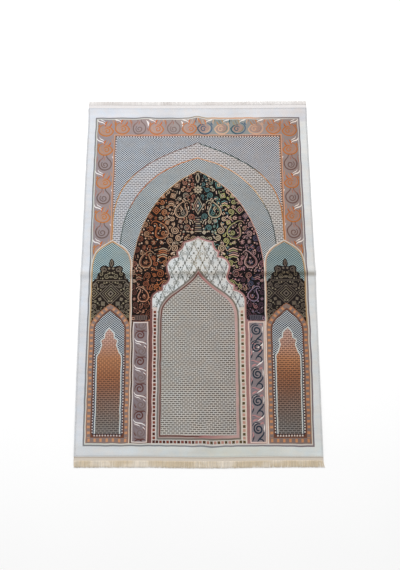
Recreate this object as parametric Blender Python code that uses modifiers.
"""Prayer rug lying flat: one woven cloth with its packing creases, and a fringed trim sewn along each end.

Metres, +Z up. The arch of the rug's design points to +Y, and the near end is at -Y.
The origin is on the floor, under the middle of the whole rug, its fringes included.
Every shape is worked out in the cloth's own flat places, x across from its centre line and y along from
its middle, and the finished rug is then centred on the origin.
"""

import math
import random
from collections import namedtuple

import bmesh
import bpy
from mathutils import Vector

# The cloth.
CLOTH_HALF_WIDTH = 0.3500
CLOTH_LENGTH = 1.0740
CLOTH_THICKNESS = 0.0030
NEAR_SEAM_TILT = 0.0010     # how far the near end runs out of square at each corner
NEAR_SEAM_BULGE = 0.0025    # how far it bellies out beside the middle crease
NEAR_BULGE_PLACE = 0.030
NEAR_BULGE_REACH = 0.200
FAR_SEAM_DISH = 0.0015      # how much further the far corners reach than the far end's middle

# The fringed trim.
TAPE_WIDTH = 0.0130
TAPE_THICKNESS = 0.0016
STRANDS = 140               # on each end
STRAND_SHARE = 0.66         # of the pitch that a strand takes up at its root
NEAR_STRAND_LENGTH = 0.0180
FAR_STRAND_LENGTH = 0.0115
STRANDS_TO_A_JOG = 5        # the tape bends with the seam once for each such group
SPLAYED_STRANDS = 6         # these last ones at a right-hand corner fan outwards
FAN_GATHERING = 1.5         # and the outermost of them the most
NEAR_SPLAY = 0.0034         # how far the outermost tip then lies outwards
FAR_SPLAY = 0.0006
PIECE_GAP = 0.0003          # between the cloth's end and the tape

# How far each long edge bows out from a straight line, at places along the cloth from its middle.
Bow = namedtuple("Bow", "place left right")
SIDE_BOWS = (
    Bow(-0.550, 0.0015, 0.0002),
    Bow(-0.450, 0.0023, 0.0006),
    Bow(-0.300, 0.0034, 0.0015),
    Bow(-0.150, 0.0037, 0.0023),
    Bow(-0.075, 0.0037, 0.0026),
    Bow(-0.025, 0.0035, 0.0037),
    Bow(0.025, 0.0028, 0.0030),
    Bow(0.100, 0.0024, 0.0023),
    Bow(0.250, 0.0018, 0.0012),
    Bow(0.400, 0.0005, 0.0002),
    Bow(0.480, -0.0008, -0.0003),
    Bow(0.550, 0.0002, 0.0004),
)

# The folds that stand up from the floor. A fold runs both ways from (x, y) at its angle, to its reach,
# and falls off within its left and right widths, as seen looking along it.
Fold = namedtuple("Fold", "x y angle reach left right height")
FOLDS = {
    "cross_crease": Fold(0.000, -0.007, 0, 0.900, 0.036, 0.018, 0.0050),
    "middle_crease": Fold(0.000, 0.000, 90, 0.900, 0.016, 0.016, 0.0024),
    "head_pucker": Fold(-0.002, 0.492, 90, 0.055, 0.030, 0.030, 0.0045),
    "foot_pucker": Fold(0.026, -0.505, 90, 0.070, 0.028, 0.024, 0.0040),
}
SEAM_FLAT = 0.006           # the trim holds the cloth flat over this last stretch
SEAM_CALM = 0.045           # and from there the folds rise to their height over this one

CREST_SHARPNESS = 1.2       # a crease's crest is narrower than a plain soft wave's

# The stages of a strand: how far out, how much of the sway, how wide against its root, and how thick.
Stage = namedtuple("Stage", "reach sway width thickness")
STRAND_STAGES = (Stage(0.5, 0.35, 0.86, 0.0013), Stage(1.0, 1.0, 0.50, 0.0008))

# Neighbouring strands lean together in two slow waves, and each strays and is cut a little on its own.
Wave = namedtuple("Wave", "lean per_strand start")
STRAND_WAVES = (Wave(0.0009, 0.23, 0.0), Wave(0.0005, 0.61, 1.0))
STRAND_STRAY = 0.0003
SHORTEST_STRAND_SHARE = 0.86

# Spacing of the cloth's grid: finest on a crest, and growing with the distance from it.
Crest = namedtuple("Crest", "place finest")
ACROSS_CRESTS = (Crest(0.000, 0.0036), Crest(0.026, 0.0080))
ALONG_CRESTS = (
    Crest(-0.007, 0.0040),
    Crest(0.492, 0.0120),
    Crest(-0.505, 0.0120),
    Crest(CLOTH_LENGTH / 2, 0.0050),
    Crest(-CLOTH_LENGTH / 2, 0.0050),
)
COARSEST = 0.034
GRADING = 0.36

SAME_PLACE = 1e-6           # two x places closer than this are one
SEED = 7


def eased(share):
    """0 to 1 with a soft start and a soft end."""
    share = min(1.0, max(0.0, share))
    return share * share * (3 - 2 * share)


def side_bow(y, side):
    """How far the left (side -1) or right (side +1) edge bows out at y, read smoothly from SIDE_BOWS."""
    before, after = next(pair for pair in zip(SIDE_BOWS, SIDE_BOWS[1:]) if y <= pair[1].place)
    start, end = (before.left, after.left) if side < 0 else (before.right, after.right)
    return start + (end - start) * eased((y - before.place) / (after.place - before.place))


def half_width(y, side):
    """From the centre line to the cloth's long edge."""
    return CLOTH_HALF_WIDTH + side_bow(y, side)


def near_seam(x):
    """y of the cloth's near end."""
    away = min(1.0, abs(x - NEAR_BULGE_PLACE) / NEAR_BULGE_REACH)
    bulge = NEAR_SEAM_BULGE * math.cos(math.pi / 2 * away) ** 2
    return -CLOTH_LENGTH / 2 - NEAR_SEAM_TILT * x / CLOTH_HALF_WIDTH - bulge


def far_seam(x):
    """y of the cloth's far end."""
    return CLOTH_LENGTH / 2 + FAR_SEAM_DISH * (x / CLOTH_HALF_WIDTH) ** 2


def ridge(fold, x, y):
    """Height that one fold gives the point (x, y)."""
    turn = math.radians(fold.angle)
    along = (x - fold.x) * math.cos(turn) + (y - fold.y) * math.sin(turn)
    across = (y - fold.y) * math.cos(turn) - (x - fold.x) * math.sin(turn)
    width = fold.left if across > 0 else fold.right
    flank = max(0.0, 1 - abs(across) / width)
    return fold.height * eased(flank) ** CREST_SHARPNESS * eased(2 * (1 - abs(along) / fold.reach))


def cloth_height(x, y):
    """Height of the cloth's underside over the floor."""
    to_seam = min(y - near_seam(x), far_seam(x) - y)
    return eased((to_seam - SEAM_FLAT) / SEAM_CALM) * sum(ridge(fold, x, y) for fold in FOLDS.values())


def graded_lines(low, high, crests):
    """Grid lines from low to high with one on the first crest, close together near every crest."""
    main = crests[0].place

    def spacing(place):
        return min([COARSEST] + [c.finest + GRADING * abs(place - c.place) for c in crests])

    def lines_to(end):
        side = 1 if end > main else -1
        lines = [main]
        while side * (end - lines[-1]) > 0:
            lines.append(lines[-1] + side * spacing(lines[-1]))
        stretch = (end - main) / (lines[-1] - main)
        return [main + (line - main) * stretch for line in lines[1:]]

    return sorted(lines_to(low) + [main] + lines_to(high))


def grid_on_lines(bm, across, along):
    """A flat grid whose vertices lie on the crossings of the given lines."""
    bmesh.ops.create_grid(bm, x_segments=len(across) - 1, y_segments=len(along) - 1, size=0.5)
    for vertex in bm.verts:
        column = round((vertex.co.x + 0.5) * (len(across) - 1))
        row = round((vertex.co.y + 0.5) * (len(along) - 1))
        vertex.co = Vector((across[column], along[row], 0))


def material(name, colour, roughness):
    """A plain finish in a linear colour."""
    made = bpy.data.materials.new(name)
    made.use_nodes = True
    shader = made.node_tree.nodes["Principled BSDF"]
    shader.inputs["Base Color"].default_value = (*colour, 1)
    shader.inputs["Roughness"].default_value = roughness
    shader.inputs["Metallic"].default_value = 0.0
    made.diffuse_color = (*colour, 1)
    return made


def add_object(name, bm, collection, finish):
    """The finished mesh as a named object in the rug's collection."""
    mesh = bpy.data.meshes.new(name)
    bm.to_mesh(mesh)
    bm.free()
    mesh.materials.append(finish)
    made = bpy.data.objects.new(name, mesh)
    collection.objects.link(made)
    return made


def make_cloth(collection, finish):
    """The cloth's underside as a graded grid on its folds, thickened upwards."""
    across = graded_lines(-CLOTH_HALF_WIDTH, CLOTH_HALF_WIDTH, ACROSS_CRESTS)
    along = graded_lines(-CLOTH_LENGTH / 2, CLOTH_LENGTH / 2, ALONG_CRESTS)
    bm = bmesh.new()
    grid_on_lines(bm, across, along)
    for vertex in bm.verts:
        x, y = vertex.co.x, vertex.co.y
        x *= half_width(y, -1 if x < 0 else 1) / CLOTH_HALF_WIDTH
        seam_shift = far_seam(x) - CLOTH_LENGTH / 2 if y > 0 else near_seam(x) + CLOTH_LENGTH / 2
        y += seam_shift * eased(2 * abs(y) / CLOTH_LENGTH) ** 2
        vertex.co = Vector((x, y, cloth_height(x, y)))
    cloth = add_object("rug", bm, collection, finish)
    thick = cloth.modifiers.new("cloth thickness", "SOLIDIFY")
    thick.thickness = CLOTH_THICKNESS
    thick.offset = 1
    thick.use_even_offset = True
    return cloth


def strand_sides(y_end):
    """x of both sides of each strand's root, from the left corner to the right one."""
    left, right = -half_width(y_end, -1), half_width(y_end, 1)
    pitch = (right - left) / (STRANDS - 1 + STRAND_SHARE)
    sides = []
    for strand in range(STRANDS):
        start = left + strand * pitch
        sides += [start, start + pitch * STRAND_SHARE]
    return sides


def strand_lay(strand, dice, splay):
    """How far a strand's tip lies to the side of its root, and the share of the full length that it has."""
    lean = sum(wave.lean * math.sin(wave.per_strand * strand + wave.start) for wave in STRAND_WAVES)
    from_corner = STRANDS - 1 - strand
    fan = splay * max(0.0, 1 - from_corner / SPLAYED_STRANDS) ** FAN_GATHERING
    stray = dice.uniform(-STRAND_STRAY, STRAND_STRAY)
    return lean + stray + fan, dice.uniform(SHORTEST_STRAND_SHARE, 1.0)


def tape_on_seam(bm, end, seam, sides):
    """The flat tape as a closed slab with an outer wall split at each strand. Gives the strands' root faces."""
    grid_on_lines(bm, sides, [PIECE_GAP, PIECE_GAP + TAPE_WIDTH])
    for vertex in bm.verts:
        vertex.co.y = seam(vertex.co.x) + end * vertex.co.y
    grown = bmesh.ops.extrude_face_region(bm, geom=bm.faces[:])["geom"]
    for part in grown:
        if isinstance(part, bmesh.types.BMVert):
            part.co.z = TAPE_THICKNESS
    bmesh.ops.recalc_face_normals(bm, faces=bm.faces)

    def outer_place(vertex):
        return abs(vertex.co.y - seam(vertex.co.x)) > TAPE_WIDTH / 2

    # The slab's other walls only bend at a jog, so their edges between two jogs go.
    jogs = set(sides[::2 * STRANDS_TO_A_JOG]) | {sides[-1]}
    between = [v for v in bm.verts if min(abs(v.co.x - jog) for jog in jogs) > SAME_PLACE]
    across = {e for v in between for e in v.link_edges if outer_place(e.verts[0]) != outer_place(e.verts[1])}
    bmesh.ops.dissolve_edges(bm, edges=list(across))
    upright = {
        e
        for v in between
        if v.is_valid and not outer_place(v)
        for e in v.link_edges
        if abs(e.verts[0].co.z - e.verts[1].co.z) > TAPE_THICKNESS / 2
    }
    bmesh.ops.dissolve_edges(bm, edges=list(upright), use_verts=True)

    outer_wall = [f for f in bm.faces if f.normal.y * end > 0.9 and all(outer_place(v) for v in f.verts)]
    return sorted(outer_wall, key=lambda f: f.calc_center_median().x)[::2]


def grow_strand(bm, face, root, end, length, sway):
    """Draws one root face out to a strand that narrows and thins towards its tip and lies level on the floor."""
    root_wide = max(v.co.x for v in face.verts) - min(v.co.x for v in face.verts)
    for stage in STRAND_STAGES:
        middle = face.calc_center_median()
        face = bmesh.ops.extrude_discrete_faces(bm, faces=[face])["faces"][0]
        for vertex in face.verts:
            side = 1 if vertex.co.x > middle.x else -1
            vertex.co = Vector((
                root.x + sway * stage.sway + side * root_wide / 2 * stage.width,
                root.y + end * length * stage.reach,
                stage.thickness if vertex.co.z > middle.z else 0.0,
            ))


def make_fringe(name, end, strand_length, splay, collection, finish):
    """The trim of one end (-1 near, +1 far): a tape along the seam and the row of strands that grows from it."""
    seam = far_seam if end > 0 else near_seam
    sides = strand_sides(end * CLOTH_LENGTH / 2)
    dice = random.Random(SEED + end)
    bm = bmesh.new()
    for strand, face in enumerate(tape_on_seam(bm, end, seam, sides)):
        sway, length_share = strand_lay(strand, dice, splay)
        grow_strand(bm, face, face.calc_center_median(), end, strand_length * length_share, sway)
    bmesh.ops.recalc_face_normals(bm, faces=bm.faces)
    return add_object(name, bm, collection, finish)


def centre_on_origin(objects):
    """Moves the finished pieces together, so that the origin is under the middle of the rug."""
    bpy.context.view_layer.update()
    graph = bpy.context.evaluated_depsgraph_get()
    corners = [Vector(c) for o in objects for c in o.evaluated_get(graph).bound_box]
    middle_x = (min(c.x for c in corners) + max(c.x for c in corners)) / 2
    middle_y = (min(c.y for c in corners) + max(c.y for c in corners)) / 2
    for piece in objects:
        piece.location = (-middle_x, -middle_y, 0)


def main():
    for old in list(bpy.data.objects):
        bpy.data.objects.remove(old)
    collection = bpy.data.collections.new("prayer_rug")
    bpy.context.scene.collection.children.link(collection)
    woven = material("woven cloth", (0.330, 0.310, 0.300), 0.90)
    trim = material("cotton trim", (0.640, 0.570, 0.460), 0.95)
    pieces = [
        make_cloth(collection, woven),
        make_fringe("fringe_near", -1, NEAR_STRAND_LENGTH, NEAR_SPLAY, collection, trim),
        make_fringe("fringe_far", 1, FAR_STRAND_LENGTH, FAR_SPLAY, collection, trim),
    ]
    centre_on_origin(pieces)


main()
